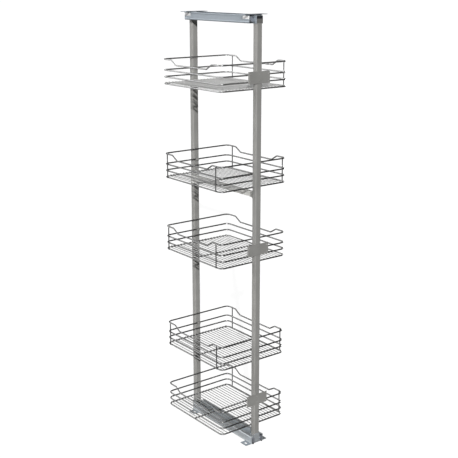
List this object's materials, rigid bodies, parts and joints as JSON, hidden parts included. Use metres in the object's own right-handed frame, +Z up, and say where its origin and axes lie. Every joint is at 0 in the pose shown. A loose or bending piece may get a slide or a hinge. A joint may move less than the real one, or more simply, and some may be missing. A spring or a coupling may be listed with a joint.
{
  "type": "pull out larder unit",
  "caption": "Tall pull-out larder frame with wire baskets hung between two posts, sliding on ball runners at top and bottom.",
  "frame": {"origin": "middle of the unit's footprint, on the cabinet floor under the bottom mounting plates", "axes": "+Z up, -Y the way the unit pulls out, +X to the right seen from the front"},
  "size_m": [0.3514, 0.464, 1.81],
  "materials": {
    "frame_paint": "satin",
    "wire_coating": "satin",
    "zinc": "satin",
    "runner_steel": "bright",
    "screw_steel": "satin",
    "white_plastic": "matte",
    "pale_plastic": "matte",
    "bumper_rubber": "matte"
  },
  "bodies": {
    "cabinet_side": {"bottom_fixed_member_left": "zinc", "bottom_bumper_left": "bumper_rubber", "bottom_fixed_member_right": "zinc", "bottom_bumper_right": "bumper_rubber", "bottom_front_mount_plate": "zinc", "bottom_rear_mount_plate": "zinc", "top_fixed_member_left": "zinc", "top_front_block_left": "white_plastic", "top_rear_block_left": "pale_plastic", "top_fixed_member_right": "zinc", "top_front_block_right": "white_plastic", "top_rear_block_right": "pale_plastic", "top_front_mount_plate": "zinc", "top_rear_mount_plate": "zinc"},
    "frame": {"bottom_moving_member_left": "runner_steel", "bottom_moving_member_right": "runner_steel", "top_moving_member_left": "runner_steel", "top_moving_member_right": "runner_steel", "bottom_beam": "zinc", "top_beam": "zinc", "front_post": "frame_paint", "rear_post": "frame_paint", "mid_brace": "frame_paint", "mid_brace_front_clip": "frame_paint", "mid_brace_rear_clip": "frame_paint", "door_plate_low": "frame_paint", "door_plate_middle": "frame_paint", "door_plate_high": "frame_paint", "basket_1": "wire_coating", "basket_1_front_hook": "frame_paint", "basket_1_rear_hook": "frame_paint", "basket_2": "wire_coating", "basket_2_front_hook": "frame_paint", "basket_2_rear_hook": "frame_paint", "basket_3": "wire_coating", "basket_3_front_hook": "frame_paint", "basket_3_rear_hook": "frame_paint", "basket_4": "wire_coating", "basket_4_front_hook": "frame_paint", "basket_4_rear_hook": "frame_paint", "basket_5": "wire_coating", "basket_5_front_hook": "frame_paint", "basket_5_rear_hook": "frame_paint", "front_post_foot_screw": "screw_steel", "front_post_top_screw": "screw_steel", "rear_post_foot_screw": "screw_steel", "rear_post_top_screw": "screw_steel"},
    "top_middle": {"top_middle_member_left": "runner_steel", "top_middle_member_right": "runner_steel"},
    "bottom_middle": {"bottom_middle_member_left": "runner_steel", "bottom_middle_member_right": "runner_steel"},
    "bottom_outer_cages": {"bottom_outer_cage_left": "runner_steel", "bottom_outer_cage_right": "runner_steel"},
    "bottom_inner_cages": {"bottom_inner_cage_left": "runner_steel", "bottom_inner_cage_right": "runner_steel"},
    "top_outer_cages": {"top_outer_cage_left": "runner_steel", "top_outer_cage_right": "runner_steel"},
    "top_inner_cages": {"top_inner_cage_left": "runner_steel", "top_inner_cage_right": "runner_steel"}
  },
  "joints": [
    {"name": "frame_slide", "type": "slide", "parent": "cabinet_side", "child": "frame", "axis": [0, -1, 0], "range_m": [0, 0.43]},
    {"name": "bottom_middle_slide", "type": "slide", "parent": "cabinet_side", "child": "bottom_middle", "axis": [0, -1, 0], "range_m": [0, 0.215]},
    {"name": "bottom_outer_cages_slide", "type": "slide", "parent": "cabinet_side", "child": "bottom_outer_cages", "axis": [0, -1, 0], "range_m": [0, 0.1075]},
    {"name": "bottom_inner_cages_slide", "type": "slide", "parent": "cabinet_side", "child": "bottom_inner_cages", "axis": [0, -1, 0], "range_m": [0, 0.3225]},
    {"name": "top_middle_slide", "type": "slide", "parent": "cabinet_side", "child": "top_middle", "axis": [0, -1, 0], "range_m": [0, 0.215]},
    {"name": "top_outer_cages_slide", "type": "slide", "parent": "cabinet_side", "child": "top_outer_cages", "axis": [0, -1, 0], "range_m": [0, 0.1075]},
    {"name": "top_inner_cages_slide", "type": "slide", "parent": "cabinet_side", "child": "top_inner_cages", "axis": [0, -1, 0], "range_m": [0, 0.3225]}
  ],
  "couplings": [
    {"joint": "bottom_middle_slide", "follows": "frame_slide", "ratio": 0.5},
    {"joint": "bottom_outer_cages_slide", "follows": "frame_slide", "ratio": 0.25},
    {"joint": "bottom_inner_cages_slide", "follows": "frame_slide", "ratio": 0.75},
    {"joint": "top_middle_slide", "follows": "frame_slide", "ratio": 0.5},
    {"joint": "top_outer_cages_slide", "follows": "frame_slide", "ratio": 0.25},
    {"joint": "top_inner_cages_slide", "follows": "frame_slide", "ratio": 0.75}
  ]
}
